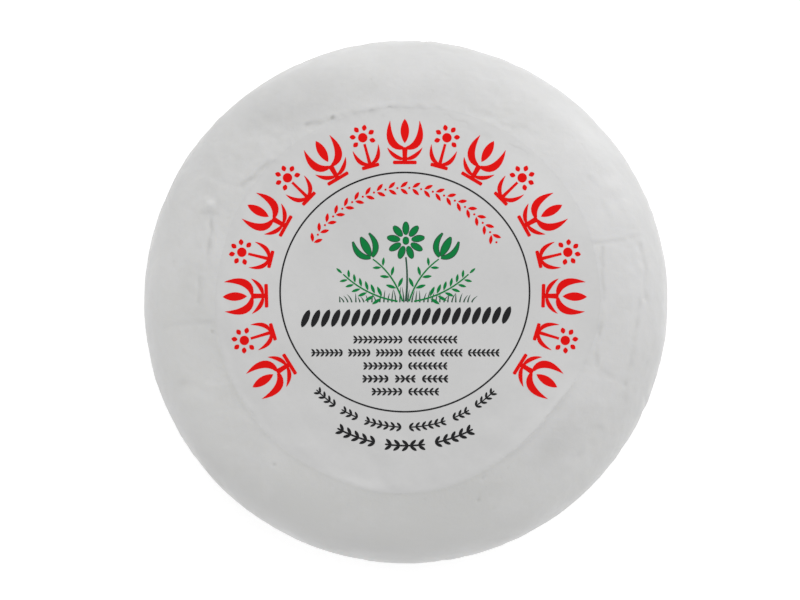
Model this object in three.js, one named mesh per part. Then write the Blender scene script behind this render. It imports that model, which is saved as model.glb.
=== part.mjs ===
// A wheel of brinza, a white brined cheese, with the round label that lies on its top face.
// Millimetres, +Z up. The origin is the middle of the flat foot that the wheel rests on.
import * as THREE from "three";

// Driving dimensions
const wheelRadius = 80;
const wheelHeight = 62;
const waistHeight = 29; // where the side stands out furthest
const footRadius = 54; // the flat that the wheel rests on
const topPower = 4.6; // superellipse exponents: a higher one gives a flatter face and a tighter shoulder
const footPower = 2.5;
const labelRadius = 59;
const labelShift = new THREE.Vector2(0.7, 0.6); // the label was laid a little off centre
const rimDent = { depth: 3.9, heading: 316, spread: 30 }; // the rim is drawn in on one side, in degrees
const labelThickness = 0.5;
const layingGap = 0.3; // between the label's underside and the cheese
const labelCalm = 4; // the folds in the cheese fade out over this width inside the label's rim

// Mesh fineness
const aroundWheel = 116;
const upTheTop = 20;
const upTheFoot = 9;
const aroundLabel = 64;
const acrossLabel = 6;

// The wheel isn't quite round: each term is [waves around, share of the radius, turn in degrees].
const outlineWaves = [
  [2, 0.0012, 35],
  [3, 0.001, 160],
  [5, 0.0007, 80],
];

// Broad soft lumps of the pressed curd: each is [height, wavelength, heading in degrees, phase in degrees].
const lumps = [
  [0.28, 74, 20, 40],
  [0.24, 58, 75, 210],
  [0.2, 47, 130, 100],
  [0.16, 39, 165, 300],
];

// Creases that the folds of the pressing cloth left beside the label, as [depth, width, points].
const clothFolds = [
  [0.5, 2.3, [[-58.8, 26.6], [-58.6, 20], [-60.2, 12.6]]],
  [0.4, 2.3, [[-62.6, 7.2], [-62.7, 0.2]]],
  [0.35, 2.3, [[-73.3, -7.4], [-66, -6.6], [-59.4, -6.2]]],
  [0.6, 2.4, [[-48.6, 34.8], [-42.6, 40], [-39.9, 42]]],
  [0.55, 2.4, [[-30.2, 53.4], [-18.3, 55.9], [-9.5, 57.6], [0, 58.6]]],
  [0.45, 2.4, [[18.8, 58.1], [28.2, 55.8], [41.5, 50.3]]],
  [0.4, 2.3, [[57, 17.8], [65.6, 18.7]]],
  [0.4, 2.3, [[59.4, 16], [59.4, 0.5], [58.8, -8], [57.5, -19.2]]],
  [0.35, 2.3, [[57.4, -19.8], [65.6, -24.4]]],
  [0.4, 2.4, [[71.5, 17.2], [73.1, 1], [69.2, -12.5], [66.8, -25]]],
];

const radians = THREE.MathUtils.degToRad;

function outlineShare(angle) {
  const waves = outlineWaves.map(([count, share, turn]) => share * Math.cos(count * angle - radians(turn)));
  return waves.reduce((sum, wave) => sum + wave, 1);
}

function lumpHeight(x, y) {
  const heights = lumps.map(([height, wavelength, heading, phase]) => {
    const along = x * Math.cos(radians(heading)) + y * Math.sin(radians(heading));
    return height * Math.sin((2 * Math.PI * along) / wavelength + radians(phase));
  });
  return heights.reduce((sum, height) => sum + height, 0);
}

// How far a point lies from a broken line.
function distanceToLine(place, points) {
  const nearest = new THREE.Vector3();
  const distances = points.slice(1).map((end, i) => {
    const stretch = new THREE.Line3(new THREE.Vector3(...points[i], 0), new THREE.Vector3(...end, 0));
    stretch.closestPointToPoint(place, true, nearest);
    return nearest.distanceTo(place);
  });
  return Math.min(...distances);
}

// Radius of the label's rim at an angle about its own middle.
function labelRim(angle) {
  const away = THREE.MathUtils.euclideanModulo((angle * 180) / Math.PI - rimDent.heading + 180, 360) - 180;
  return labelRadius - rimDent.depth * Math.exp(-((away / rimDent.spread) ** 2));
}

function foldDepth(x, y) {
  const place = new THREE.Vector3(x, y, 0);
  const out = new THREE.Vector2(x, y).sub(labelShift);
  const fromLabel = out.length() - labelRim(out.angle());
  const shown = THREE.MathUtils.smoothstep(fromLabel, -labelCalm, 0);
  const depths = clothFolds.map(([depth, width, points]) => {
    const away = distanceToLine(place, points) / width;
    return depth * Math.exp(-away * away);
  });
  return shown * depths.reduce((sum, depth) => sum + depth, 0);
}

// A superellipse quarter as [outward share, upward share], from its flat end to its upright end.
function quarterShares(power, steps) {
  return Array.from({ length: steps + 1 }, (_, i) => {
    const turn = ((Math.PI / 2) * i) / steps;
    return [Math.sin(turn) ** (2 / power), Math.max(Math.cos(turn), 0) ** (2 / power)];
  });
}

// The half section, from the axis at the foot to the axis at the top: the flat, a rounded lower edge
// up to the waist, then one long curve over the shoulder and across the top face.
function halfSection() {
  const lower = quarterShares(footPower, upTheFoot).map(([out, up]) => {
    return new THREE.Vector2(footRadius + (wheelRadius - footRadius) * out, waistHeight * (1 - up));
  });
  const upper = quarterShares(topPower, upTheTop).map(([out, up]) => {
    return new THREE.Vector2(wheelRadius * out, waistHeight + (wheelHeight - waistHeight) * up);
  });
  const foot = [0, footRadius / 2].map((radius) => new THREE.Vector2(radius, 0));
  return [...foot, ...lower.slice(0, -1), ...upper.reverse()];
}

// Height of the smooth top face at a distance from the axis, before lumps and folds.
function topHeight(distance) {
  const share = Math.min(distance / wheelRadius, 1);
  return waistHeight + (wheelHeight - waistHeight) * (1 - share ** topPower) ** (1 / topPower);
}

function reshape(geometry, change) {
  const place = geometry.getAttribute("position");
  const point = new THREE.Vector3();
  for (let i = 0; i < place.count; i++) {
    point.fromBufferAttribute(place, i);
    change(point);
    place.setXYZ(i, point.x, point.y, point.z);
  }
  geometry.computeVertexNormals();
  return geometry;
}

function cheeseGeometry() {
  const geometry = new THREE.LatheGeometry(halfSection(), aroundWheel);
  geometry.rotateX(Math.PI / 2);
  return reshape(geometry, (point) => {
    const round = outlineShare(Math.atan2(point.y, point.x));
    const upper = THREE.MathUtils.smoothstep(point.z, waistHeight, wheelHeight - 8);
    point.x *= round;
    point.y *= round;
    point.z += upper * (lumpHeight(point.x, point.y) - foldDepth(point.x, point.y));
  });
}

// A round sheet with unit radius is drawn out to the rim, laid over the cheese and lifted to its height.
function labelGeometry() {
  const rings = Array.from({ length: acrossLabel + 1 }, (_, i) => i / acrossLabel);
  const under = rings.map((radius) => new THREE.Vector2(radius, 0));
  const upper = rings.map((radius) => new THREE.Vector2(radius, labelThickness)).reverse();
  const geometry = new THREE.LatheGeometry([...under, ...upper], aroundLabel);
  geometry.rotateX(Math.PI / 2);
  return reshape(geometry, (point) => {
    const rim = labelRim(Math.atan2(point.y, point.x));
    point.x = labelShift.x + rim * point.x;
    point.y = labelShift.y + rim * point.y;
    point.z += topHeight(Math.hypot(point.x, point.y)) + lumpHeight(point.x, point.y) + layingGap;
  });
}

const curdFinish = new THREE.MeshStandardMaterial({ color: 0xcfd0cc, roughness: 0.5, metalness: 0 });
const paperFinish = new THREE.MeshStandardMaterial({ color: 0xd0d0cf, roughness: 0.42, metalness: 0 });

function namedMesh(name, geometry, material) {
  const mesh = new THREE.Mesh(geometry, material);
  mesh.name = name;
  return mesh;
}

const cheese = namedMesh("cheese", cheeseGeometry(), curdFinish);
const label = namedMesh("label", labelGeometry(), paperFinish);

const wheel = new THREE.Group();
wheel.add(cheese, label);

// The uneven outline moves the middle of the wheel a little: it is put back over the origin.
const middle = new THREE.Box3().setFromObject(cheese).getCenter(new THREE.Vector3());
for (const mesh of wheel.children) {
  mesh.position.set(-middle.x, -middle.y, 0);
}

export default wheel;
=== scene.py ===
import bpy
import numpy as np
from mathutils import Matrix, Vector


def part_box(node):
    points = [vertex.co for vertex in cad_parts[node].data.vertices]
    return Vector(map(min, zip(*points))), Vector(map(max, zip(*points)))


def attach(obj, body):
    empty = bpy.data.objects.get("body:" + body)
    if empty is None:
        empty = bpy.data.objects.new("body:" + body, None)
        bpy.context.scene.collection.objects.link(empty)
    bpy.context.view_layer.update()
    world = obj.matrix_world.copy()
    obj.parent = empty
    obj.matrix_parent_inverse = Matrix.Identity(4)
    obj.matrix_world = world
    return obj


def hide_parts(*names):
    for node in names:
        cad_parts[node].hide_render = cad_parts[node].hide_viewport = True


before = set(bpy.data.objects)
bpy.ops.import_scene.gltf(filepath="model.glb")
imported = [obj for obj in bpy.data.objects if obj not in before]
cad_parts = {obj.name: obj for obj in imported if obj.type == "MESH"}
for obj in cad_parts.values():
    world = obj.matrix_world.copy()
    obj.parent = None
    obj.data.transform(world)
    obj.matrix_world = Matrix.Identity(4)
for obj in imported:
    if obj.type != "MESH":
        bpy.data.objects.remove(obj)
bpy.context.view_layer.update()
# millimetres from here on
cheeseLow, cheeseHigh = [np.array(corner) * 1000 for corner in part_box("cheese")]
labelLow, labelHigh = [np.array(corner) * 1000 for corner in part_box("label")]
print("frame loaded, cheese is", np.round(cheeseHigh - cheeseLow, 1), "mm")

wheel = {
    "radius": (cheeseHigh[0] - cheeseLow[0]) / 2 / 1.001,  # its waves reach a little past it
    "height": 62,
    "waist": 29,  # where the side stands out furthest
    "footRadius": 54,
    "topPower": 4.6,  # higher is flatter, with a tighter shoulder
    "footPower": 2.5,
    "outlineWaves": [(2, 0.0008, 10), (3, 0.0003, 100), (5, 0.0003, 80)],  # how many, share of radius, turn
    "lumps": [(0.28, 74, 20, 40), (0.24, 58, 75, 210), (0.2, 47, 130, 100), (0.16, 39, 165, 300)],
    "shoulder": 8,  # the relief fades from this far below the top to the waist
    "calmAbove": 6,  # the skin is calmest this far above the waist
    "calmReach": (4, 15),
    "facing": 2.2,  # weight of the height in its direction
    "around": 720,
    "topStep": 0.46,  # mesh fineness along the section, mm
    "sideStep": 1.2,
    "fineAbove": 20,  # the finer steps begin this far above the waist
    "hiddenRadius": 53,  # the label hides the face inside this
    "hiddenStep": 5,
    "footStep": 8,
}

# folds the cloth pressed in: trough depth and width, line depth and width, step up to its left, points
clothFolds = [
    (0.18, 1.3, 0.25, 0.55, 0.16, [(-58.7, 26.4), (-59, 22.4), (-59.6, 18), (-60.2, 13.2)]),
    (0.18, 1, 0.14, 0.6, 0.02, [(-61.8, 26.9), (-57.2, 26.2)]),
    (0.13, 1.2, 0.2, 0.6, 0.08, [(-62.6, 7.2), (-62.3, 4.4), (-62.7, 0.2)]),
    (0.14, 1.4, 0.09, 0.8, 0.1, [(-73.3, -7.4), (-69, -6.4), (-66, -6.6), (-59.4, -6.2)]),
    (0.22, 1.3, 0.2, 0.65, 0.14, [(-49.6, 35.2), (-46.6, 37.4), (-43.9, 40.2), (-40.6, 42.8)]),
    (0.1, 1.6, 0, 0.6, 0.16, [(-30.4, 53), (-24.5, 54.3), (-18.3, 55.9), (-9.5, 57.5), (0, 58.6)]),
    (0.14, 1, 0.18, 0.6, 0.02, [(-30, 53.6), (-26, 54.5), (-21.6, 55.6)]),
    (0.1, 1, 0.12, 0.6, 0.02, [(-19.6, 56.3), (-12.6, 57.4)]),
    (0.14, 1, 0.2, 0.55, 0.02, [(-10.6, 57.8), (-5, 58.8), (-0.8, 59)]),
    (0.08, 0.9, 0.12, 0.5, 0.04, [(0, 58.9), (10, 58.7)]),
    (0.1, 1.5, 0, 0.7, 0.03, [(20, 58), (23, 57.6)]),
    (0.13, 1.6, 0, 0.7, 0.03, [(25, 56.6), (28, 55.8)]),
    (0.11, 1.4, 0.02, 0.8, 0.03, [(31.2, 53.8), (36.4, 52.4)]),
    (0.09, 1.2, 0, 0.7, 0.03, [(38.4, 51.2), (41.5, 50.3)]),
    (0.2, 1.2, 0.24, 0.75, 0.06, [(12.6, 55.8), (18.2, 53.6), (22.4, 51.2), (25.4, 49.6)]),
    (0.15, 1, 0.15, 0.8, 0.04, [(31.6, 47.4), (36.4, 44.6)]),
    (0.1, 1.3, 0.03, 0.6, 0.04, [(55.4, 37.6), (59, 34.6)]),
    (0.06, 1.4, 0, 0.6, 0.03, [(62.5, 32.4), (65.6, 29)]),
    (0.06, 1.4, 0, 0.6, 0.03, [(65.6, 27.4), (68.4, 21.6)]),
    (0.1, 1.2, 0.02, 0.6, 0.04, [(59.6, 29.8), (61.4, 25.4)]),
    (0.12, 1.2, 0.08, 0.6, 0.02, [(57, 17.9), (61, 17.7), (65.6, 18.7)]),
    (0.1, 1.1, 0.07, 0.6, 0.02, [(68, 19.4), (71.6, 20)]),
    (0.12, 1, 0.18, 0.5, 0.06, [(59.6, 16), (59.6, 0.5)]),
    (0.12, 1.1, 0.14, 0.6, 0.05, [(59.4, -1.5), (59, -8), (58, -13), (57.7, -19.2)]),
    (0.07, 1.4, 0.02, 0.9, 0.02, [(57.6, -19.8), (60.4, -21.8), (65.6, -24.4)]),
    (0.14, 1.1, 0.12, 0.55, 0.08, [(71.5, 17.2), (72.8, 9.8), (73.1, 1)]),
    (0.14, 1.2, 0.12, 0.7, 0.08, [(70.8, 0), (70.4, -6), (69.2, -12.5), (67.8, -20), (66.8, -25)]),
    (0.14, 1.2, 0.06, 0.7, 0.04, [(75.8, -8.5), (74.6, -15)]),
    (0.16, 1.2, 0.08, 0.7, 0.04, [(73.4, -18.5), (71.8, -22)]),
]

# soft dents and swells: x, y, height, long radius, short radius, heading of the long axis in degrees
softDents = [
    (-34, 55.5, -0.7, 15, 5.5, 8), (-3, 56.5, -0.28, 16, 6, 175), (-36, 69, 0.85, 11, 6, 28),
    (-57.5, 53.5, 0.6, 10, 6, 47), (47, 56, -0.6, 10, 8, 50), (70, 27, 0.4, 12, 7, 110),
    (8, 74, 0.4, 11, 6, 0), (-73, -26, 0.75, 17, 7, 110), (-55, -20, -0.25, 16, 8, 110),
    (59, -50, 0.85, 13, 6, 50), (46, -48, -0.6, 11, 7, 45), (54, -31, 0.25, 9, 7, 60),
    (0, -69, -0.5, 30, 7, 0), (-59.6, 29.6, 0.55, 1.5, 1.1, 20), (-60.9, 31.3, 0.22, 0.9, 0.8, 60),
    (-68, -24.8, -0.32, 1.5, 1.1, 20), (-66.2, -28, 0.26, 2.6, 1.7, 20),
    (-46.8, -33.9, -0.12, 1.5, 0.8, 130), (23.4, -53, -0.16, 1.4, 0.55, 90),
    (22.2, -59.7, -0.16, 1.4, 0.55, 90), (67, -30, -0.2, 1.7, 1.1, 80),
    (65.8, -34.6, -0.18, 1.8, 1, 60), (58.6, -38.2, -0.18, 1.7, 0.9, 0),
    (52.6, -46.4, -0.18, 1.4, 1, 30), (56.4, -43.2, -0.12, 1.6, 1.1, 40),
    (47, -52.6, -0.2, 3.4, 1.8, 40), (56.6, -52.8, 0.16, 3, 2, 45),
]

# painted light and shade: paler and darker patches on the curd that stand in for the shading of dents,
# swells and the knot, painted on the thin paper too:
# x, y, change, long radius, short radius, heading of the long axis
paintedLightAndShade = [
    (-31, 58, -0.085, 17, 8.5, 28), (1, 63, -0.05, 15, 5, 0), (-16, 75.5, 0.07, 15, 3.5, 10),
    (-63, -27, 0.06, 20, 8, 113), (45, -43, -0.075, 11, 5.5, 50), (47, -58, 0.06, 12, 4, 42),
    (60, 28, 0.03, 8, 6, 115), (54, 54, 0.06, 10, 3, 135), (-36, -52, 0.035, 12, 5, 145),
    (57, -11, -0.035, 26, 14, 98), (6, -57, -0.035, 36, 6, 0), (38, 39, 0.045, 20, 4.5, 135),
    (-59.6, 29.9, 0.06, 1.3, 0.9, 20), (-59.3, 27.4, -0.07, 2.1, 0.6, 8), (-71.5, 2, 0.04, 22, 6, 93),
    (-46, 56, -0.04, 9, 6, 40), (57, -47, 0.035, 15, 6, 50), (-13, -75, -0.05, 16, 3.5, 170),
    (-67, 31, 0.045, 9, 5, 65), (31, -66, 0.035, 19, 6, 25), (17, 64, -0.035, 11, 6, 165),
    (-30, 65, -0.03, 8, 5, 25), (58.6, -38.2, -0.05, 1.7, 0.9, 0), (52.6, -46.4, -0.05, 1.5, 1, 30),
    (66.6, -30, -0.055, 1.6, 1.1, 80), (65.6, -34.4, -0.045, 1.8, 1, 60),
    (47, -52.8, -0.03, 3.6, 1.8, 40), (56.8, -52.6, 0.025, 3.2, 2, 45),
    (-67.6, -24.6, -0.05, 1.8, 1.2, 20), (-65.8, -27.8, 0.035, 2.8, 1.8, 20),
    (-47.2, -34.2, -0.035, 1.5, 0.9, 130), (67.4, -24.6, -0.02, 1.2, 1, 0),
]

# places where the skin is a little more uneven: x, y, radius, height
roughSpots = [
    (-68, -26, 9, 0.12), (66, -32, 9, 0.08), (70, 14, 8, 0.1), (-42, 48, 12, 0.11), (-60, 32, 7, 0.11),
    (56, -54, 13, 0.08), (30, 58, 12, 0.06), (-55, -46, 12, 0.07), (60, 32, 10, 0.06), (-66, 10, 9, 0.07),
]

# small holes where air or whey was trapped: x, y, radius, depth
pinholes = [
    (-22.3, 56, 0.6, 0.45), (-5, 58.8, 0.5, 0.35), (-39.9, -49.3, 0.55, 0.26),
    (-58.8, -9, 0.52, 0.26), (23.4, -53.4, 0.5, 0.14), (22.2, -60.2, 0.55, 0.2),
    (31, -50.4, 0.42, 0.12), (26.6, -62.6, 0.45, 0.1), (5.6, -60, 0.45, 0.08),
    (-49.3, 8.1, 0.4, 0.12), (45.2, 34.2, 0.5, 0.2), (-70.6, 12.3, 0.5, 0.1), (-17.6, -61.4, 0.45, 0.08),
]

# upright creases of the cloth down the side; noises are height, wavelength and seed
creases = {
    "count": 17,
    "carriedOver": [15.5, 185.5, 340],  # where folds of the face run on, degrees
    "depth": 0.55,
    "shallowest": 0.3,  # share of that depth
    "width": (0.9, 2),
    "lip": (0.45, 2.2, 1.2),  # share of the depth, then distance and width in widths of the crease
    "lean": (9, 20),  # sideways at most, over this height
    "low": (4, 16, 4),  # where the lower end is, from and to, and how far it fades
    "high": (36, 52, 5),
    "wander": [(1.6, 22, 71), (0.5, 8, 72)],
    "strength": (0.8, [(0.5, 14, 73)], 0.1, 1.6),  # share, noises and limits
    "atWaist": 0.33,  # share of the depth left there
    "seed": 5,
}

skinLook = {
    "face": (44, 56),  # heights where the side gives way to the face
    "waves": [(0.15, 19, 3), (0.07, 7.5, 4), (0.02, 2.4, 5)],
    "calm": 0.55,  # share of the waves lost towards the lower side of the face
    "calmReach": (25, 60),
    "wrinkleHeight": 0.08,
    "wrinkles": [(1, 15, 31, 0.22), (0.7, 9, 33, 0.24)],  # share, wavelength, seed and width
    "wrinklePatches": (0.15, 24, 32, 1.2),  # base, wavelength, seed and limit
    "spotWaves": [(0.8, 7, 51), (0.6, 4.2, 52), (0.3, 2.6, 53)],
    "sideSwells": [(0.13, 30, 63)],
    "sideWaves": [(0.12, 12, 61), (0.08, 5.5, 62)],
    "fineWaves": [(0.07, 4.2, 64), (0.03, 2.6, 65)],
    "fineStrength": (0.6, [(0.6, 26, 66)], 0.1, 1.5),
    "broadAtWaist": 0.25,  # shares of the height left at the waist
    "sideAtWaist": 0.35,
    "footFade": (0.2, 5),  # the skin is smooth where the wheel rests
}


def ease(x, low, high):
    # eases from 0 below low to 1 above high: 3t squared minus 2t cubed
    t = np.clip((x - low) / (high - low), 0, 1)
    return t * t * (3 - 2 * t)


def hump(away, width):
    # e to the minus squared distance in widths
    return np.exp(-((away / width) ** 2))


def softNoise(points, wavelength, seed, waves=26):
    # sum of sine waves in random directions, all near one wavelength, about -1 to 1
    rng = np.random.default_rng(seed)
    directions = rng.normal(size=(waves, 3))
    directions /= np.linalg.norm(directions, axis=1)[:, None]
    numbers = directions * (2 * np.pi / (wavelength * rng.uniform(0.7, 1.5, waves)))[:, None]
    return np.sin(points @ numbers.T + rng.uniform(0, 2 * np.pi, waves)).sum(axis=1) / np.sqrt(waves)


def noiseSum(points, waves):
    # sum of soft noises, each of a height, wavelength and seed
    return sum(height * softNoise(points, wavelength, seed) for height, wavelength, seed in waves)


def clippedNoise(points, strength):
    # a share plus soft noises, kept between two limits
    share, waves, least, most = strength
    return np.clip(share + noiseSum(points, waves), least, most)


def distanceToLine(x, y, corners):
    # distance to a broken line, signed distance off to its left, and distance past its ends
    place = np.c_[x, y]
    least, left, beyond = np.full(len(x), 1e9), np.zeros(len(x)), np.zeros(len(x))
    for i in range(len(corners) - 1):
        start = np.array(corners[i], float)
        run = np.array(corners[i + 1], float) - start
        length = np.hypot(*run)
        along = (place - start) @ run / length
        off = place - start - (np.clip(along, 0, length) / length)[:, None] * run
        away = np.linalg.norm(off, axis=1)
        nearer = away < least
        least = np.where(nearer, away, least)
        left = np.where(nearer, (run[0] * (y - start[1]) - run[1] * (x - start[0])) / length, left)
        past = np.maximum(-along if i == 0 else 0, along - length if i == len(corners) - 2 else 0)
        beyond = np.where(nearer, np.maximum(past, 0), beyond)
    return least, left, beyond


def outlineShare(angle):
    # 1 plus a few cosine waves around the wheel
    waves = wheel["outlineWaves"]
    return 1 + sum(share * np.cos(count * angle - np.radians(turn)) for count, share, turn in waves)


def lumpHeight(x, y):
    # sum of sine waves across the top face, each height, wavelength, heading and phase
    total = np.zeros_like(x)
    for height, wavelength, heading, phase in wheel["lumps"]:
        along = x * np.cos(np.radians(heading)) + y * np.sin(np.radians(heading))
        total += height * np.sin(2 * np.pi * along / wavelength + np.radians(phase))
    return total


def bumpSum(x, y, bumps):
    # sum of long round bumps, height times e to the minus squared distance in radii
    total = np.zeros_like(x)
    for cx, cy, height, longRadius, shortRadius, heading in bumps:
        c, s = np.cos(np.radians(heading)), np.sin(np.radians(heading))
        u, v = ((x - cx) * c + (y - cy) * s) / longRadius, ((y - cy) * c - (x - cx) * s) / shortRadius
        total += height * np.exp(-u * u - v * v)
    return total


foldLook = {
    "bendX": [(0.16, 8, 41), (0.16, 3, 43)],
    "bendY": [(0.16, 8, 42), (0.16, 3, 44)],
    "strength": (0.95, [(0.5, 5, 21)], 0.2, 1.8),  # share, noises and limits
    "lip": 0.5,  # share of the depth of the trough
    "lipAway": 1.3,
    "lipWidth": 0.8,
    "ends": 1.2,  # the step and the lip fade over this much past the ends
    "stepWidth": 0.6,
    "stepReach": 3.5,
}


def foldRelief(x, y):
    # trough and line: depth times e to the minus squared distance in widths; step: a soft rise to the left
    # of the line with a low lip beside it; noise bends every line and changes its depth along the way
    look = foldLook
    flat = np.c_[x, y, np.zeros_like(x)]
    alongX, alongY = x + noiseSum(flat, look["bendX"]), y + noiseSum(flat, look["bendY"])
    strength = clippedNoise(flat, look["strength"])
    broad, sharp = np.zeros_like(x), np.zeros_like(x)
    for depth, width, lineDepth, lineWidth, step, corners in clothFolds:
        away, left, beyond = distanceToLine(alongX, alongY, corners)
        ends = hump(beyond, look["ends"])
        lip = look["lip"] * depth * hump(left - look["lipAway"], look["lipWidth"]) * ends
        broad += strength * (depth * hump(away, width) - lip)
        broad -= step * np.tanh(left / look["stepWidth"]) * np.exp(-away / look["stepReach"]) * ends
        sharp += lineDepth * strength * hump(away, lineWidth)
    return broad, sharp


def spotHeight(points):
    # short waves that fade around each rough spot: e to the minus squared distance in radii
    share = np.zeros(len(points))
    for x, y, radius, height in roughSpots:
        share += height * hump(np.hypot(points[:, 0] - x, points[:, 1] - y), radius)
    return share * noiseSum(points, skinLook["spotWaves"])


def wrinkleHeight(points):
    # soft raised lines where a slow noise crosses zero, shown only in patches
    line = np.zeros(len(points))
    for share, wavelength, seed, width in skinLook["wrinkles"]:
        line += share * hump(softNoise(points, wavelength, seed), width)
    base, wavelength, seed, limit = skinLook["wrinklePatches"]
    return line * np.clip(base + softNoise(points, wavelength, seed), 0, limit)


def waistCalm(up, least):
    # a share that is least round the steepest part of the side, 1 above and below it
    away = np.abs(up - wheel["waist"] - wheel["calmAbove"])
    return least + (1 - least) * ease(away, *wheel["calmReach"])


def creaseHeight(points):
    # grooves that run up the side: depth times e to the minus squared distance in widths, with a low lip
    # beside each, shallower where the side stands out furthest
    look = creases
    rng = np.random.default_rng(look["seed"])
    heading = np.arctan2(points[:, 1], points[:, 0])
    up = points[:, 2]
    wander = noiseSum(points, look["wander"])
    strength = clippedNoise(points, look["strength"])
    count = look["count"]
    places = [360 * (i + rng.uniform(0.1, 0.9)) / count for i in range(count)]
    lipShare, lipAway, lipWidth = look["lip"]
    leanMost, leanHeight = look["lean"]
    *lows, lowFade = look["low"]
    *highs, highFade = look["high"]
    total = np.zeros(len(points))
    for place in np.radians(places + look["carriedOver"]):
        lean = rng.uniform(-1, 1) * leanMost
        width = rng.uniform(*look["width"])
        depth = rng.uniform(look["shallowest"], 1) * look["depth"]
        low = rng.uniform(*lows)
        high = rng.uniform(*highs)
        turn = (heading - place + np.pi) % (2 * np.pi) - np.pi
        slant = lean * (up - wheel["waist"]) / leanHeight
        away = wheel["radius"] * turn - slant + wander
        shown = ease(up, low - lowFade, low + lowFade)
        shown *= 1 - ease(up, high - highFade, high + highFade)
        groove = hump(away, width) - lipShare * hump(away - lipAway * width, lipWidth * width)
        total -= depth * strength * shown * groove
    return total * waistCalm(up, look["atWaist"])


def skinHeight(points):
    # waves and soft wrinkles, calmer on the lower side of the face, plus the rough spots; the side has
    # more sizes of wave and its creases, all but the finest calmer at the waist
    up = points[:, 2]
    face = ease(up, *skinLook["face"])
    calm = 1 - skinLook["calm"] * ease(-points[:, 1], *skinLook["calmReach"]) * face
    broad = noiseSum(points, skinLook["waves"]) + skinLook["wrinkleHeight"] * wrinkleHeight(points)
    broad = calm * broad + spotHeight(points) * face
    broad += noiseSum(points, skinLook["sideSwells"]) * (1 - face)
    patchy = clippedNoise(points, skinLook["fineStrength"])
    side = noiseSum(points, skinLook["sideWaves"]) * waistCalm(up, skinLook["sideAtWaist"])
    side += patchy * noiseSum(points, skinLook["fineWaves"]) + creaseHeight(points)
    return broad * waistCalm(up, skinLook["broadAtWaist"]) + side * (1 - face)


def outwardFrom(x, y, z):
    # roughly the way the skin faces, as a unit vector
    outward = np.c_[x, y, wheel["facing"] * (z - wheel["waist"])]
    return outward / np.linalg.norm(outward, axis=1)[:, None]


def topHeight(distance):
    # superellipse: waist plus rise times (1 - (r/R)^p)^(1/p)
    share = np.clip(distance / wheel["radius"], 0, 1)
    power, waist = wheel["topPower"], wheel["waist"]
    return waist + (wheel["height"] - waist) * (1 - share**power) ** (1 / power)


def joinUp(name, points, faces, material, node, smooth=True):
    # millimetre points and their faces become a piece that stands for its node
    mesh = bpy.data.meshes.new(name)
    mesh.from_pydata((points * 0.001).tolist(), [], faces)
    mesh.polygons.foreach_set("use_smooth", np.full(len(mesh.polygons), smooth))
    mesh.materials.append(material)
    mesh.update()
    piece = bpy.data.objects.new(name, mesh)
    bpy.context.scene.collection.objects.link(piece)
    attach(piece, "root")
    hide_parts(node)
    print("made", name, "with", len(mesh.polygons), "faces")
    return piece


def keepValues(piece, name, values):
    # one number for each point of the mesh, for a material to read
    piece.data.attributes.new(name, "FLOAT", "POINT").data.foreach_set("value", values.astype(np.float32))


def shellFaces(rings, around):
    # quads between closed rings, with a fan at the first and last point
    row = np.arange(rings)[:, None] * around + 1
    here = np.arange(around)
    there = np.roll(here, -1)
    row, ahead = row[:-1], row[1:]
    quads = np.stack([row + here, row + there, ahead + there, ahead + here], axis=-1).reshape(-1, 4)
    last = rings * around + 1
    low = np.c_[np.zeros(around, int), 1 + there, 1 + here]
    high = np.c_[np.full(around, last), last - around + here, last - around + there]
    return quads.tolist() + low.tolist() + high.tolist()


def ringGrid(out, angle, centre=(0, 0)):
    # x and y on every ring, between a first and a last point in the middle
    ways = np.cos(angle), np.sin(angle)
    return [np.r_[c, (c + out * way).ravel(), c] for c, way in zip(centre, ways)]


def newMaterial(name, sockets):
    # a material, its node tree and its shader, whose plain values are given by socket
    material = bpy.data.materials.new(name)
    material.use_nodes = True
    tree = material.node_tree
    shader = tree.nodes["Principled BSDF"]
    for socket, value in sockets.items():
        shader.inputs[socket].default_value = value
    return material, tree, shader


def feed(socket, value):
    # a socket is linked to another, or takes a plain value
    if isinstance(value, bpy.types.NodeSocket):
        socket.id_data.links.new(value, socket)
    else:
        socket.default_value = value


def addNode(tree, kind, *inputs, **settings):
    # a node with its first sockets filled in order, its other sockets and its settings by name
    node = tree.nodes.new("ShaderNode" + kind)
    for socket, value in zip(node.inputs, inputs):
        feed(socket, value)
    for key, value in settings.items():
        if key in node.inputs:
            feed(node.inputs[key], value)
        else:
            setattr(node, key, value)
    return node


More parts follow.
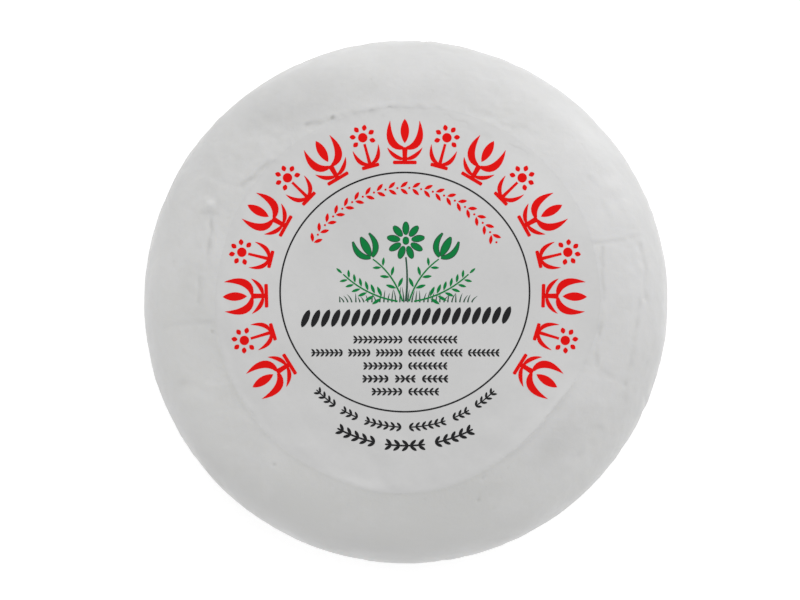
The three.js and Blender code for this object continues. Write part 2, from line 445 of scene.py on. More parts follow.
curdLook = {
    "paleColor": (0.6405, 0.6395, 0.6395, 1),
    "warmColor": (0.5885, 0.5885, 0.5795, 1),
    "warmSide": (-1.6, -3, 0),  # the curd is warmer towards this heading
    "mottle": [(22, 1), (110, 0.55), (420, 0.35)],  # patches of three sizes: scale and weight
    "mottleEdges": (0.25, 0.75),
    # painted shade: the side and shoulder are painted darker than the face
    "shadedSideColor": (0.594, 0.594, 0.593, 1),
    "sideDamp": (0.56, 0.56, 0.556, 1),  # the side has its own paler and damper patches
    "sidePatches": 34,
    "sideEdges": (0.36, 0.64),
    "sideFade": (0.057, 0.05),  # heights in metres where the side's painted shade begins and is full
    "paintedShadeColor": (0.3, 0.3, 0.27, 1),
    "lineShade": 0.45,  # painted shade: how dark fold lines, pinholes and creases are painted
    "holeShade": 0.9,
    "creaseShade": 0.3,
    "creaseFade": (44, 54),  # the creases lose their shade over these heights, mm
    "poreScale": 260,
    "poreClusters": 30,
    "clusterEdges": (0.35, 0.65),
    "poreShare": (0.08, 0.85),  # share of cells with a pore, outside the clusters and in them
    "poreSize": (0.08, 0.27),  # least and greatest, in cells
    "poreBend": (650, 0.0012),  # scale and reach of the noise that makes them uneven
    "poreSoft": 0.3,  # share of a pore that is at its full depth
    "poreShade": 0.28,
    "poreDepth": 0.00035,
    "poreFade": (0.05, 0.04),  # they come in over these heights, and are faint above
    "poresAbove": 0.07,
    "grain": (900, 0.6, 0.00009),  # scale, strength and depth
    "dampScale": 65,
    "dampEdges": (0.3, 0.7),
    "gloss": (0.42, 0.6),  # least and greatest roughness
    "sockets": {
        "Specular IOR Level": 0.35,
        "Subsurface Weight": 0.12,
        "Subsurface Radius": (1, 0.9, 0.7),
        "Subsurface Scale": 0.002,
    },
}


def mixColors(tree, share, first, second):
    # a mix of two colours, each a socket or a plain colour
    mix = addNode(tree, "Mix", data_type="RGBA")
    for place, value in ((0, share), (6, first), (7, second)):
        feed(mix.inputs[place], value)
    return mix.outputs[2]


def combine(tree, operation, first, second):
    # one arithmetic step on sockets or numbers
    return addNode(tree, "Math", first, second, operation=operation).outputs["Value"]


def ramp(tree, value, fromLow, fromHigh, low=0, high=1, kind="LINEAR"):
    # stretches a value from one range to another
    ends = {"From Min": fromLow, "From Max": fromHigh, "To Min": low, "To Max": high}
    return addNode(tree, "MapRange", interpolation_type=kind, Value=value, **ends).outputs["Result"]


def placeIn(tree):
    # the place of a point on its piece, in metres
    return addNode(tree, "TexCoord").outputs["Object"]


def noiseAt(tree, scale, detail=3, output="Fac"):
    # soft noise, about 0.5 on average
    return addNode(tree, "TexNoise", placeIn(tree), Scale=scale, Detail=detail).outputs[output]


def kept(tree, name):
    # the numbers kept in the mesh under a name
    return addNode(tree, "Attribute", attribute_name=name).outputs["Fac"]


def withLightAndShade(tree, color):
    # the colour times 1 plus the painted light and shade kept in the mesh
    share = combine(tree, "ADD", kept(tree, "lightAndShade"), 1)
    scaled = addNode(tree, "VectorMath", operation="SCALE", Vector=color, Scale=share)
    return scaled.outputs["Vector"]


def makeCurd():
    # pale and warm patches, painted shade on the side and in hollows and pores, small openings and a fine
    # grain over them
    look = curdLook
    material, tree, shader = newMaterial("moistCurd", look["sockets"])
    place = placeIn(tree)
    height = addNode(tree, "SeparateXYZ", Vector=place).outputs["Z"]
    towards = addNode(tree, "VectorMath", place, look["warmSide"], operation="DOT_PRODUCT")
    share = combine(tree, "ADD", towards.outputs["Value"], 0.5)
    for scale, weight in look["mottle"]:
        patch = ramp(tree, noiseAt(tree, scale), 0, 1, -0.5 * weight, 0.5 * weight)
        share = combine(tree, "ADD", share, patch)
    share = ramp(tree, share, *look["mottleEdges"])
    color = mixColors(tree, share, look["paleColor"], look["warmColor"])
    damper = ramp(tree, noiseAt(tree, look["sidePatches"], 5), *look["sideEdges"])
    shadedSideColor = mixColors(tree, damper, look["shadedSideColor"], look["sideDamp"])
    color = mixColors(tree, ramp(tree, height, *look["sideFade"]), color, shadedSideColor)
    # small openings: uneven spots of many sizes, in clusters, fainter on the face, with painted shade in
    # them
    bendScale, bendReach = look["poreBend"]
    bend = noiseAt(tree, bendScale, 2, "Color")
    bent = addNode(tree, "VectorMath", bend, (bendReach,) * 3, place, operation="MULTIPLY_ADD")
    cells = addNode(tree, "TexVoronoi", Scale=look["poreScale"], Vector=bent.outputs[0])
    pick = addNode(tree, "SeparateColor", Color=cells.outputs["Color"])
    size = combine(tree, "POWER", pick.outputs["Green"], 2)
    size = ramp(tree, size, 0, 1, *look["poreSize"])
    away = combine(tree, "DIVIDE", cells.outputs["Distance"], size)
    spot = ramp(tree, away, look["poreSoft"], 1, 1, 0, "SMOOTHSTEP")
    clusters = noiseAt(tree, look["poreClusters"])
    share = ramp(tree, clusters, *look["clusterEdges"], *look["poreShare"])
    pore = combine(tree, "MULTIPLY", spot, combine(tree, "LESS_THAN", pick.outputs["Red"], share))
    below = ramp(tree, height, *look["poreFade"], look["poresAbove"], 1)
    pore = combine(tree, "MULTIPLY", pore, below)
    shade = combine(tree, "MULTIPLY", pore, look["poreShade"])
    paintedShade = combine(tree, "ADD", kept(tree, "paintedShade"), shade)
    color = mixColors(tree, paintedShade, color, look["paintedShadeColor"])
    feed(shader.inputs["Base Color"], withLightAndShade(tree, color))
    dampAndRimShadow = noiseAt(tree, look["dampScale"])
    feed(shader.inputs["Roughness"], ramp(tree, dampAndRimShadow, *look["dampEdges"], *look["gloss"]))
    scale, strength, depth = look["grain"]
    fine = noiseAt(tree, scale, 4)
    grain = addNode(tree, "Bump", Strength=strength, Distance=depth, Height=fine)
    grain = grain.outputs["Normal"]
    pits = addNode(tree, "Bump", Distance=look["poreDepth"], Height=pore, Normal=grain, invert=True)
    feed(shader.inputs["Normal"], pits.outputs["Normal"])
    return material


paperLook = {
    "paperColor": (0.603, 0.6025, 0.6005, 1),
    "shadeColor": (0.581, 0.5805, 0.5785, 1),
    # painted shade along the creases
    "creaseShadeColor": (0.4, 0.4, 0.38, 1),
    "patchScale": 40,
    "patchEdges": (0.3, 0.7),
    "gloss": (0.38, 0.48),
    "fibreScale": 700,
    "fibreDepth": 0.00003,
}


def makePaper():
    # broad patches and fine fibres of two shades, with painted shade along the creases
    look = paperLook
    material, tree, shader = newMaterial("coatedPaper", {})
    patches = noiseAt(tree, look["patchScale"])
    fibres = noiseAt(tree, look["fibreScale"], 2)
    low, high = look["patchEdges"]
    share = ramp(tree, combine(tree, "ADD", patches, fibres), 2 * low, 2 * high)
    color = mixColors(tree, share, look["paperColor"], look["shadeColor"])
    color = mixColors(tree, kept(tree, "paintedShade"), color, look["creaseShadeColor"])
    feed(shader.inputs["Base Color"], withLightAndShade(tree, color))
    feed(shader.inputs["Roughness"], ramp(tree, patches, low, high, *look["gloss"]))
    bump = addNode(tree, "Bump", Strength=0.5, Distance=look["fibreDepth"], Height=fibres)
    feed(shader.inputs["Normal"], bump.outputs["Normal"])
    return material


inkLook = {
    "red": ((0.76, 0.0035, 0.003, 1), (0.69, 0.006, 0.005, 1)),
    "dark": ((0.012, 0.012, 0.013, 1), (0.022, 0.022, 0.024, 1)),
    "green": ((0.003, 0.185, 0.042, 1), (0.006, 0.205, 0.052, 1)),
    "deepGreen": ((0.022, 0.075, 0.045, 1), (0.036, 0.094, 0.06, 1)),
    "speckScale": 1500,
    "sockets": {"Roughness": 0.6, "Specular IOR Level": 0.05},
}


def makeInk(name):
    # two tones of one ink in fine specks
    material, tree, shader = newMaterial(name + "Ink", inkLook["sockets"])
    specks = noiseAt(tree, inkLook["speckScale"], 2)
    feed(shader.inputs["Base Color"], mixColors(tree, specks, *inkLook[name]))
    return material


curd = makeCurd()
paper = makePaper()
redInk, darkInk, greenInk, deepGreenInk = map(makeInk, ("red", "dark", "green", "deepGreen"))
print("finishes made")

# the label's outline comes first, because the cheese lies calm and a little lower under it
labelRadius = 59
label = {
    # from its two full sides, at the left and at the top
    "centre": np.array([labelLow[0], labelHigh[1]]) + labelRadius * np.array([1, -1]),
    "rimWaves": [(5, 0.15, 1), (9, 0.12, 2.2), (14, 0.08, 0)],  # how many, height and phase
    "rimDent": (3.9, 316, 30),  # depth, heading and spread in degrees of a cut-in at the rim
    "thickness": 0.025,
    "margin": 1.1,  # the paper thins out over this much
    "tuck": 0.02,  # its edge lies this much under the skin
    "underside": 0.12,
    "bed": 0.3,  # the cheese lies this much lower under the paper
    "bedReach": (0.2, 2),
    "blend": (0, 4),  # skin gives way to ripples over this much inside the rim
    "swells": [(0.13, 218, 24), (0.03, 275, 20), (0.7, 315, 15)],  # height, heading, spread of rim ridges
    "swellLeast": 0.015,
    "swellWidths": (1.9, 0.9),  # inside and outside the rim
    "foldFade": (3, 9),
    "lineLoss": 0.4,  # share of the sharp lines lost under the paper
    "lineReach": (-0.6, 0.4),
    "lineShade": 0.6,
    "lineFade": (4, 9),
    "rimShade": 0.07,  # painted shadow: the curd is darker just outside the lower rim
    "rimShadeWidth": 0.45,
    "rimShadeFrom": (6, 30),  # this far below the middle of the label
    "ripples": [(0.09, 19, 8), (0.05, 8, 9), (0.012, 3.5, 10)],  # height, wavelength and seed
    "rippleShare": (0.6, 1.4),  # of their height, in the middle and at the rim
    "rippleReach": (38, 50),
    "patches": [(50, 24, 0.03, 17, 7, 115), (29, -32, -0.028, 17, 8, 45)],  # painted light and shade on the paper, columns as for the curd's patches
    "middleTone": -0.055,  # a little darker within the first radius, fading to the next
    "middleReach": (34, 54),
    "rimRings": [0, 0.1, 0.22, 0.36, 0.52, 0.7, 0.95, 1.3, 1.8, 2.4, 3.1, 3.9, 4.8, 5.8],
    "innerRings": (52, 1.5, 60),  # from, to and how many
    "around": 600,
}


def degreesFrom(heading, angle):
    # turn from a heading to an angle in radians, -180 to 180 degrees
    return (np.degrees(angle) - heading + 180) % 360 - 180


def labelRim(angle):
    # radius of the rim: round, with slight waves, less a soft cut-in on one side
    depth, heading, spread = label["rimDent"]
    waves = sum(height * np.cos(count * angle + phase) for count, height, phase in label["rimWaves"])
    return labelRadius - depth * hump(degreesFrom(heading, angle), spread) + waves


def insideLabel(x, y):
    # millimetres inside the rim, negative outside it
    dx, dy = x - label["centre"][0], y - label["centre"][1]
    return labelRim(np.arctan2(dy, dx)) - np.hypot(dx, dy)


def rimSwell(x, y):
    # a soft ridge: e to the minus distance inside the rim, falling off quickly outside
    angle = np.arctan2(y - label["centre"][1], x - label["centre"][0])
    inside = insideLabel(x, y)
    rise = np.full_like(x, label["swellLeast"])
    for height, heading, spread in label["swells"]:
        rise += height * hump(degreesFrom(heading, angle), spread)
    inner, outer = label["swellWidths"]
    return rise * np.where(inside > 0, np.exp(-np.abs(inside) / inner), hump(inside, outer))


def foldDrop(x, y, inside):
    # how far the folds sink the surface: in full outside the label, fading inside it
    broad, sharp = foldRelief(x, y)
    through = 1 - ease(inside, *label["foldFade"])
    sharpLeft = 1 - label["lineLoss"] * ease(inside, *label["lineReach"])
    return through * (broad + sharpLeft * sharp), sharp


def wheelSection():
    # superellipse quarters above and below the waist, sampled by weighted length
    edge, waist, foot = wheel["radius"], wheel["waist"], wheel["footRadius"]
    turn = np.linspace(0, np.pi / 2, 4000)
    lowOut, lowUp = [wave(turn)[:-1] ** (2 / wheel["footPower"]) for wave in (np.sin, np.cos)]
    topOut, topUp = [wave(turn)[::-1] ** (2 / wheel["topPower"]) for wave in (np.sin, np.cos)]
    flat = np.linspace(0, foot, 200)[:-1]
    radius = np.r_[flat, foot + (edge - foot) * lowOut, edge * topOut]
    high = waist + (wheel["height"] - waist) * topUp
    height = np.r_[0 * flat, waist * (1 - lowUp), high]
    above = height > waist + wheel["fineAbove"]
    under = (height < 0.01) & (radius < foot - 2)
    steps = [wheel["footStep"], wheel["hiddenStep"], wheel["topStep"]]
    step = np.select([under, above & (radius <= wheel["hiddenRadius"]), above], steps, wheel["sideStep"])
    length = np.hypot(np.diff(radius), np.diff(height))
    count = np.r_[0, np.cumsum(length / step[1:])]
    picks = np.linspace(0, count[-1], int(count[-1]) + 1)[1:-1]
    return np.interp(picks, count, radius), np.interp(picks, count, height)


def makeCheese():
    # the section turned round the wheel; the top takes lumps, dents and folds, the skin its unevenness
    r, z = wheelSection()
    rings = len(r)
    angle = np.linspace(0, 2 * np.pi, wheel["around"], endpoint=False)
    x, y = ringGrid(r[:, None] * outlineShare(angle), angle)
    z = np.r_[0, np.repeat(z, wheel["around"]), wheel["height"]]
    upper = ease(z, wheel["waist"], wheel["height"] - wheel["shoulder"])
    inside = insideLabel(x, y)
    shown = 1 - ease(inside, *label["blend"])
    drop, sharp = foldDrop(x, y, inside)
    holes = np.zeros_like(x)
    for cx, cy, size, depth in pinholes:
        holes += depth * np.exp(-(((x - cx) ** 2 + (y - cy) ** 2) / size**2) ** 1.5)
    drop += shown * holes + label["bed"] * ease(inside, *label["bedReach"])
    relief = lumpHeight(x, y) + bumpSum(x, y, softDents) + rimSwell(x, y) - drop
    points = np.c_[x, y, z + upper * relief]
    skin = shown * ease(z, *skinLook["footFade"]) * skinHeight(points)
    points += skin[:, None] * outwardFrom(x, y, z)
    points[:, 2] = np.maximum(points[:, 2], 0)
    piece = joinUp("cheese_wheel", points, shellFaces(rings, wheel["around"]), curd, "cheese")
    creased = np.maximum(-creaseHeight(points), 0)
    creased *= 1 - ease(points[:, 2], *curdLook["creaseFade"])
    # painted shadow along the lower rim of the paper, just outside its edge
    lower = ease(label["centre"][1] - y, *label["rimShadeFrom"]) * (np.hypot(x, y) < 68)
    dampAndRimShadow = label["rimShade"] * lower * hump(inside + 0.2, label["rimShadeWidth"])
    # painted shade in the fold lines, pinholes and side creases, kept for the material
    paintedShade = shown * (curdLook["lineShade"] * sharp + curdLook["holeShade"] * holes)
    paintedShade += curdLook["creaseShade"] * creased + dampAndRimShadow
    keepValues(piece, "paintedShade", np.clip(paintedShade, 0, 1))
    # painted light and shade on the top of the curd
    keepValues(piece, "lightAndShade", upper * bumpSum(x, y, paintedLightAndShade))


def labelSurface(x, y):
    # height of the label's face: the cheese under it, with its folds near the rim and ripples inside
    inside = insideLabel(x, y)
    base = topHeight(np.hypot(x, y)) + lumpHeight(x, y) + bumpSum(x, y, softDents) + rimSwell(x, y)
    near = 1 - ease(inside, *label["blend"])
    skin = near * skinHeight(np.c_[x, y, base]) * outwardFrom(x, y, base)[:, 2]
    ripple = noiseSum(np.c_[x, y, np.zeros_like(x)], label["ripples"])
    least, most = label["rippleShare"]
    ripple *= least + (most - least) * ease(np.hypot(x, y), *label["rippleReach"])
    paper = (label["thickness"] + label["tuck"]) * ease(inside, 0, label["margin"]) - label["tuck"]
    return base - foldDrop(x, y, inside)[0] + skin + (1 - near) * ripple + paper


def makeLabel():
    # rings up the underside to the rim and back over the paper, finer near the rim
    rims = labelRadius - np.array(label["rimRings"])
    rims = np.r_[rims, np.linspace(*label["innerRings"])] / labelRadius
    under = rims[::6][::-1]
    share = np.r_[under, rims]
    lift = np.r_[np.full(len(under), -label["underside"]), np.zeros(len(rims))]
    angle = np.linspace(0, 2 * np.pi, label["around"], endpoint=False)
    x, y = ringGrid(share[:, None] * labelRim(angle), angle, label["centre"])
    z = labelSurface(x, y) + np.r_[lift[0], np.repeat(lift, label["around"]), 0]
    faces = shellFaces(len(share), label["around"])
    piece = joinUp("label_paper", np.c_[x, y, z], faces, paper, "label")
    inside = insideLabel(x, y)
    creased = foldDrop(x, y, inside)[1] * (1 - ease(inside, *label["lineFade"]))
    # painted shade along the fold lines that show through near the rim
    keepValues(piece, "paintedShade", np.clip(label["lineShade"] * creased, 0, 1))
    middle = 1 - ease(np.hypot(x, y), *label["middleReach"])
    # painted light and shade on the paper, and its darker middle
    keepValues(piece, "lightAndShade", bumpSum(x, y, paintedLightAndShade + label["patches"]) + label["middleTone"] * middle)


makeCheese()
makeLabel()

# the print is thin strokes of ink that follow the paper
ink = {
    "thickness": 0.035,
    "sunk": 0.06,  # the back of a stroke lies this much under the paper's face
    "least": 0.02,  # half width where a stroke ends
    "layers": (6, 0.002),  # how many heights the strokes lie at, and the step between them
    "steps": 11,
    "across": 3,
}


def leaf(start, end, width, bend=0, power=0.75):
    # a leaf shape: half width is width/2 times sin(pi t) to a power, its middle line bows sideways by bend
    start, end = np.array(start, float), np.array(end, float)
    t = np.linspace(0, 1, ink["steps"])
    run = end - start
    side = np.array([-run[1], run[0]])
    path = start + t[:, None] * run + (bend * 4 * t * (1 - t))[:, None] * side
    return path, np.maximum(width / 2 * np.sin(np.pi * t) ** power, ink["least"])


def bar(start, end, width):
    # a straight stroke with rounded ends: half width times the root of 1 - (1 - u)^2 near an end
    start, end = np.array(start, float), np.array(end, float)
    t = (1 - np.cos(np.linspace(0, np.pi, ink["steps"]))) / 2
    u = np.clip(5 * np.minimum(t, 1 - t) * np.hypot(*(end - start)) / width, 0, 1)
    roundness = np.sqrt(np.maximum(1 - (1 - u) ** 2, 0.15))
    return start + t[:, None] * (end - start), np.maximum(width / 2 * roundness, ink["least"])


def brush(start, pull, end, first, middle, last):
    # a curved stroke: (1 - t)^2 start + 2t(1 - t) pull + t^2 end, with its width blended the same way
    t = np.linspace(0, 1, ink["steps"])[:, None]
    blend = np.c_[(1 - t) ** 2, 2 * t * (1 - t), t**2]
    return blend @ np.array([start, pull, end], float), blend @ np.array([first, middle, last], float) / 2


def dot(x, y, radius):
    # a round dot as a short stroke whose half width is that of a circle
    t = np.linspace(0, np.pi, ink["steps"])
    path = np.c_[x - radius * np.cos(t), np.full(ink["steps"], y)]
    return path, np.maximum(radius * np.sin(t), ink["least"])


def turned(strokes, degrees):
    # turns strokes about the origin
    a = np.radians(degrees)
    turn = np.array([[np.cos(a), -np.sin(a)], [np.sin(a), np.cos(a)]])
    return [(path @ turn.T, half) for path, half in strokes]


def shifted(strokes, x, y):
    # moves strokes by x and y
    return [(path + np.array([x, y]), half) for path, half in strokes]


def placed(strokes, angle, radius, centre=(0, 0)):
    # turns strokes so that their own +y points away from a centre, at a heading in degrees
    a = np.radians(angle)
    x, y = centre[0] + radius * np.cos(a), centre[1] + radius * np.sin(a)
    return shifted(turned(strokes, angle - 90), x, y)


def printStrokes(name, strokes, material, level=0):
    # every stroke is a flat tube: its section runs over the top from edge to edge and back underneath;
    # strokes that cross lie a little over each other
    paths, halves = [np.array(part) for part in zip(*strokes)]
    run = np.gradient(paths, axis=1)
    run /= np.linalg.norm(run, axis=2)[..., None]
    side = np.stack([-run[..., 1], run[..., 0]], axis=-1)
    across = np.linspace(-1, 1, ink["across"])
    section = np.r_[across, across[::-1]]
    flat = paths[:, :, None, :] + (halves[:, :, None] * section)[..., None] * side[:, :, None, :]
    x, y = flat[..., 0].ravel(), flat[..., 1].ravel()
    top = np.tile(np.repeat([0, 1], ink["across"]), len(x) // len(section))
    count, steps, loop = flat.shape[:3]
    layers, layerStep = ink["layers"]
    layer = np.repeat(np.arange(count) % layers * layerStep, steps * loop)
    z = labelSurface(x, y) + np.where(top > 0, ink["thickness"] + level + layer, -ink["sunk"])
    grid = np.arange(count * steps * loop).reshape(count, steps, loop)
    nextAround = np.roll(grid, -1, axis=2)
    walls = np.stack([grid[:, :-1], nextAround[:, :-1], nextAround[:, 1:], grid[:, 1:]], axis=-1)
    ends = np.concatenate([grid[:, 0, ::-1], grid[:, -1]])
    faces = walls.reshape(-1, 4).tolist() + ends.tolist()
    joinUp(name, np.c_[x, y, z], faces, material, "label", smooth=False)


redBand = {
    "motifs": 17,
    "spread": 122,  # degrees to each side of straight up
    "centre": (-0.3, 3),
    "across": 41.5,  # half widths of the ellipse it stands on
    "up": 38.8,
}


def tulip():
    # three petals on a stem with two leaves and a foot line
    strokes = [leaf((0, 6.4), (0, 13.8), 2.6), bar((-3.6, 0.55), (3.6, 0.55), 1.1)]
    strokes.append(brush((0, 0.7), (0, 2.6), (0, 5.2), 1.5, 1.2, 1.8))
    for sign in (-1, 1):
        strokes.append(brush((sign * 0.5, 4.9), (sign * 5.7, 5.4), (sign * 4.5, 13.2), 0.9, 4, 0.1))
        strokes.append(brush((sign * 0.4, 1.6), (sign * 3.2, 1.8), (sign * 5.3, 5), 0.6, 2.2, 0.1))
    return strokes


def seedHead():
    # a round head of seeds over two bowed leaves
    strokes = [dot(0, 9.6, 1.45), bar((-2.7, 0.55), (2.7, 0.55), 1.1)]
    strokes.append(brush((0, 0.7), (0, 4), (0, 7.6), 1.2, 0.8, 0.8))
    for turn in np.radians(np.arange(-30, 211, 48)):
        c, s = np.cos(turn), np.sin(turn)
        strokes.append(leaf((2.1 * c, 9.6 + 2.1 * s), (4 * c, 9.6 + 4 * s), 1.45))
    for sign in (-1, 1):
        strokes.append(brush((sign * 0.3, 1.3), (sign * 3.3, 1.5), (sign * 4, 6.4), 0.5, 2.3, 0.1))
    return strokes


bandStrokes = []
for i, angle in enumerate(np.linspace(90 + redBand["spread"], 90 - redBand["spread"], redBand["motifs"])):
    a = np.radians(angle)
    out = 1 / np.hypot(np.cos(a) / redBand["across"], np.sin(a) / redBand["up"])  # radius of the ellipse
    bandStrokes += placed(tulip() if i % 2 == 0 else seedHead(), angle, out, redBand["centre"])
printStrokes("red_band", bandStrokes, redInk)

ring = {"centre": (-0.3, 3), "across": 37.85, "up": 36.3, "line": 0.5}


def makeRing():
    # a flat band carried round an ellipse
    angle = np.linspace(0, 2 * np.pi, 360, endpoint=False)
    half = ring["line"] / 2
    low, high = -ink["sunk"], ink["thickness"]
    rows = []
    for out, lift in ((-half, low), (half, low), (half, high), (-half, high)):
        x = ring["centre"][0] + (ring["across"] + out) * np.cos(angle)
        y = ring["centre"][1] + (ring["up"] + out) * np.sin(angle)
        rows.append(np.c_[x, y, labelSurface(x, y) + lift])
    points = np.stack(rows, axis=1).reshape(-1, 3)
    grid = np.arange(len(points)).reshape(-1, 4)
    ahead, beside = np.roll(grid, -1, axis=0), np.roll(grid, -1, axis=1)
    faces = np.stack([grid, ahead, np.roll(ahead, -1, axis=1), beside], axis=-1).reshape(-1, 4)
    joinUp("thin_ring", points, faces.tolist(), darkInk, "label", smooth=False)


makeRing()

garland = {"pairs": 19, "from": 149, "to": 31, "radius": 31.6}
garlandStrokes = []
for angle in np.linspace(garland["from"], garland["to"], garland["pairs"]):
    pair = [leaf((-1.3, sign * 0.2), (0.9, sign * 1.9), 1.08) for sign in (-1, 1)]
    garlandStrokes += placed(pair + [dot(1.35, 0, 0.33)], angle, garland["radius"], ring["centre"])
printStrokes("red_garland", garlandStrokes, redInk)

meadow = {
    "foot": 0.2,
    "line": 0.5,
    "outline": 0.27,
    "headSize": 5.8,
    "petals": 9,
    "blades": 34,
    "bladesAcross": 40,
    "seed": 12,
}


def twig(start, pull, end, leaves, longest, shortest, line):
    # a bowed stem with leaves on both sides that shorten towards the tip
    stem = brush(start, pull, end, line, line, line * 0.8)
    path = stem[0]
    slope = np.gradient(path, axis=0)
    strokes = [stem]
    even = np.linspace(0, 1, ink["steps"])
    for share in np.linspace(0.25, 1, leaves):
        x, y = np.interp(share, even, path[:, 0]), np.interp(share, even, path[:, 1])
        k = int(share * (ink["steps"] - 1))
        heading = np.arctan2(slope[k, 1], slope[k, 0])
        size = longest + (shortest - longest) * share
        for lean in (0.85, -0.85) if share < 0.99 else (0,):
            a = heading + lean
            tip = (x + size * np.cos(a), y + size * np.sin(a))
            strokes.append(leaf((x + 0.5 * np.cos(a), y + 0.5 * np.sin(a)), tip, size * 0.27))
    return strokes


def daisy(x, y, size, petals, turn):
    # petals round an open middle with a dot in it
    strokes = [dot(x, y, size * 0.17)]
    for heading in np.radians(turn + np.arange(petals) * 360 / petals):
        out = size * np.array([np.cos(heading), np.sin(heading)])
        strokes.append(leaf((x, y) + 0.3 * out, (x, y) + out, size * 0.28, power=0.6))
    return strokes


def bell(x, y, size, heading):
    # a half open flower: three narrow petals over a small cup
    petals = [leaf((0, 0), (0, size), size * 0.3)]
    for sign in (-1, 1):
        pull, tip = (sign * size * 0.62, size * 0.2), (sign * size * 0.42, size * 0.98)
        petals.append(brush((sign * 0.2, -0.3), pull, tip, 0.5, size * 0.37, 0.1))
    return placed(petals, heading, 0, (x, y))


def outlined(strokes):
    # the same strokes a little wider, printed first, for a thin darker rim round each
    return [(path, half + meadow["outline"]) for path, half in strokes]


foot, line = meadow["foot"], meadow["line"]
heads = daisy(0, 18.6, meadow["headSize"], meadow["petals"], 90)
stems = [brush((0, foot), (0.8, 7), (0, 13.6), 0.7, 0.5, 0.5)]
greenStrokes = []
for sign in (-1, 1):
    greenStrokes += twig((sign * 1, foot), (sign * 3.5, 8.4), (sign * 10, 13), 4, 4, 2.8, line)[:-1]
    greenStrokes += twig((sign * 2.5, foot), (sign * 12, 1.8), (sign * 19, 8.4), 7, 4, 2.8, line)
    heads += bell(sign * 10.6, 13.9, 6.6, 90 - sign * 28)
rng = np.random.default_rng(meadow["seed"])
blades = []
for x in np.linspace(-meadow["bladesAcross"] / 2, meadow["bladesAcross"] / 2, meadow["blades"]):
    tall = rng.uniform(1.2, 2.6) + 2.2 * np.exp(-((x / 7) ** 2))
    lean = rng.uniform(-0.9, 0.9) + 0.05 * x
    pull, tip = (x + 0.2 * lean, foot + 0.5 * tall), (x + lean, foot + tall)
    blades.append(brush((x, foot - 0.3), pull, tip, 0.45, 0.4, 0.06))
printStrokes("green_outlines", outlined(heads) + stems + blades, deepGreenInk, level=-0.015)
printStrokes("green_meadow", heads + greenStrokes, greenInk)

boldRow = {"leaves": 21, "width": 61, "height": 5.3, "y": -4.5, "leafWidth": 1.97, "slant": 1.2, "tilt": 1}
boldStrokes = []
for x in np.linspace(-boldRow["width"] / 2, boldRow["width"] / 2, boldRow["leaves"]):
    start = (x - boldRow["slant"], boldRow["y"] - boldRow["height"] / 2)
    end = (x + boldRow["slant"], boldRow["y"] + boldRow["height"] / 2)
    boldStrokes.append(leaf(start, end, boldRow["leafWidth"], power=0.5))
printStrokes("bold_row", turned(boldStrokes, boldRow["tilt"]), darkInk)


def sprigRow(groups, pitch, height, thick):
    # short twigs in a line centred on x = 0, each a stem along y = 0 with a pair of leaves at every step,
    # all pointing away from the middle of the row
    x = -(sum(groups) + len(groups) - 1) * pitch / 2
    strokes = []
    for count in groups:
        strokes.append(bar((x, 0), (x + (count - 0.2) * pitch, 0), thick * 0.55))
        for i in range(count):
            outward = -1 if x + (i + 0.4) * pitch < 0 else 1
            at = x + (i + (0.8 if outward < 0 else 0)) * pitch
            for sign in (-1, 1):
                tip = (at + outward * 0.75 * pitch, sign * height / 2)
                strokes.append(leaf((at, sign * 0.1), tip, thick, power=0.6))
        x += (count + 1) * pitch
    return strokes


# y or radius of the row, leaf pairs in each twig, and their pitch, height and thickness
smallRows = [
    (-11.4, (10, 10), 1.52, 2.4, 0.61),
    (-15.4, (7, 5, 6, 6, 5, 7), 1.4, 2.3, 0.63),
    (-19.4, (8, 8), 1.52, 2.3, 0.64),
    (-23.3, (5, 4, 5), 1.65, 2.3, 0.67),
    (-27.2, (6, 6), 1.6, 2.3, 0.64),
]
smallArcs = [(38, (4, 3, 6, 6, 3, 4), 1.95, 2.6, 0.72), (43.6, (5, 5, 5), 2.55, 3.3, 0.97)]


def bentUp(strokes, radius):
    # wraps a straight row round the lower side of a circle, its +y towards the middle
    bent = []
    for path, half in strokes:
        a = -np.pi / 2 + path[:, 0] / radius
        r = radius - path[:, 1]
        bent.append((np.c_[r * np.cos(a), r * np.sin(a)], half))
    return bent


rowStrokes = []
for y, groups, pitch, height, thick in smallRows:
    rowStrokes += shifted(sprigRow(groups, pitch, height, thick), 0, y)
for radius, groups, pitch, height, thick in smallArcs:
    rowStrokes += bentUp(sprigRow(groups, pitch, height, thick), radius)
printStrokes("small_rows", rowStrokes, darkInk)

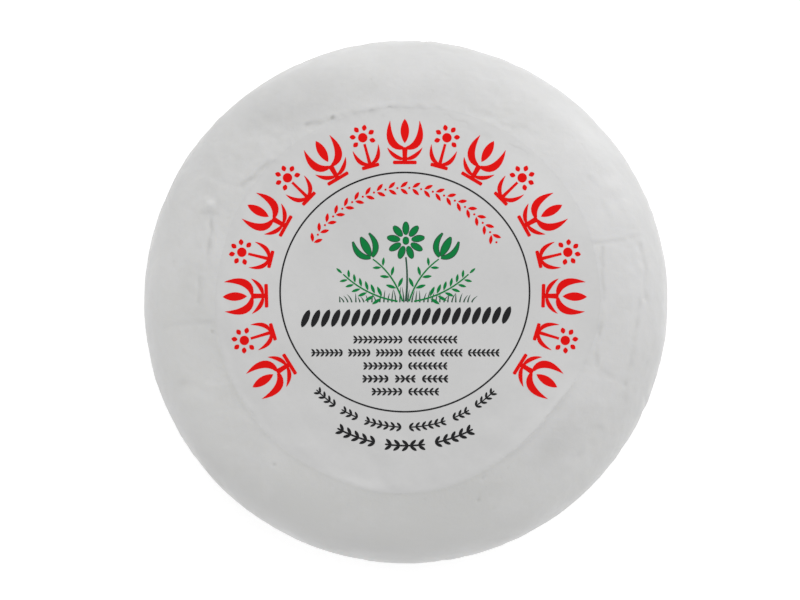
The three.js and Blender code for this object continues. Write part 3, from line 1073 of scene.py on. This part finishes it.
room = {
    "floor": {
        "Base Color": (0.8, 0.8, 0.8, 1),
        "Roughness": 0.9,
        "Specular IOR Level": 0,
        "Emission Color": (1, 1, 1, 1),
        "Emission Strength": 0.45,
    },
    "floorReach": 30,
    "sky": 0.69,
    "lightSize": 0.5,
    "lightAway": 1.24,
    # name, watts, heading and height in degrees
    "lights": [("low", 3.9, 45, 15), ("high", 1.8, 115, 35), ("top", 2.2, 40, 86)],
}

floorMesh = bpy.data.meshes.new("floor")
corners = [(-1, -1, 0), (1, -1, 0), (1, 1, 0), (-1, 1, 0)]
floorMesh.from_pydata([Vector(corner) * room["floorReach"] for corner in corners], [], [(0, 1, 2, 3)])
floor = bpy.data.objects.new("floor", floorMesh)
bpy.context.scene.collection.objects.link(floor)
floorMesh.materials.append(newMaterial("paleFloor", room["floor"])[0])

world = bpy.data.worlds.new("softSky")
world.use_nodes = True
sky = world.node_tree.nodes["Background"].inputs
sky["Color"].default_value = (1, 1, 1, 1)
sky["Strength"].default_value = room["sky"]
bpy.context.scene.world = world


def softLight(name, watts, heading, height):
    # a disc at a heading and a height, turned to the middle of the scene
    h, v = np.radians(heading), np.radians(height)
    place = Vector((np.cos(v) * np.cos(h), np.cos(v) * np.sin(h), np.sin(v))) * room["lightAway"]
    data = bpy.data.lights.new(name, "AREA")
    data.shape = "DISK"
    data.size = room["lightSize"]
    data.energy = watts
    light = bpy.data.objects.new(name, data)
    light.location = place
    light.rotation_mode = "QUATERNION"
    light.rotation_quaternion = (-place).to_track_quat("-Z", "Y")
    light.visible_camera = False
    bpy.context.scene.collection.objects.link(light)


for lightSettings in room["lights"]:
    softLight(*lightSettings)

camera = {
    "distance": 3,  # metres above the floor
    "wheelShare": 0.6519,  # the wheel's share of the width of the view
    "sideways": -1.77,
    "upwards": 0.61,
    "sensor": 36,
}
eyeData = bpy.data.cameras.new("eye")
eyeData.sensor_width = camera["sensor"]
viewWidth = 2 * wheel["radius"] * 0.001 / camera["wheelShare"]
eyeData.lens = camera["sensor"] * (camera["distance"] - wheel["waist"] * 0.001) / viewWidth
eyeData.clip_end = 100
eye = bpy.data.objects.new("eye", eyeData)
eye.location = (camera["sideways"] * 0.001, camera["upwards"] * 0.001, camera["distance"])
bpy.context.scene.collection.objects.link(eye)
bpy.context.scene.camera = eye
bpy.context.scene.view_settings.view_transform = "Standard"
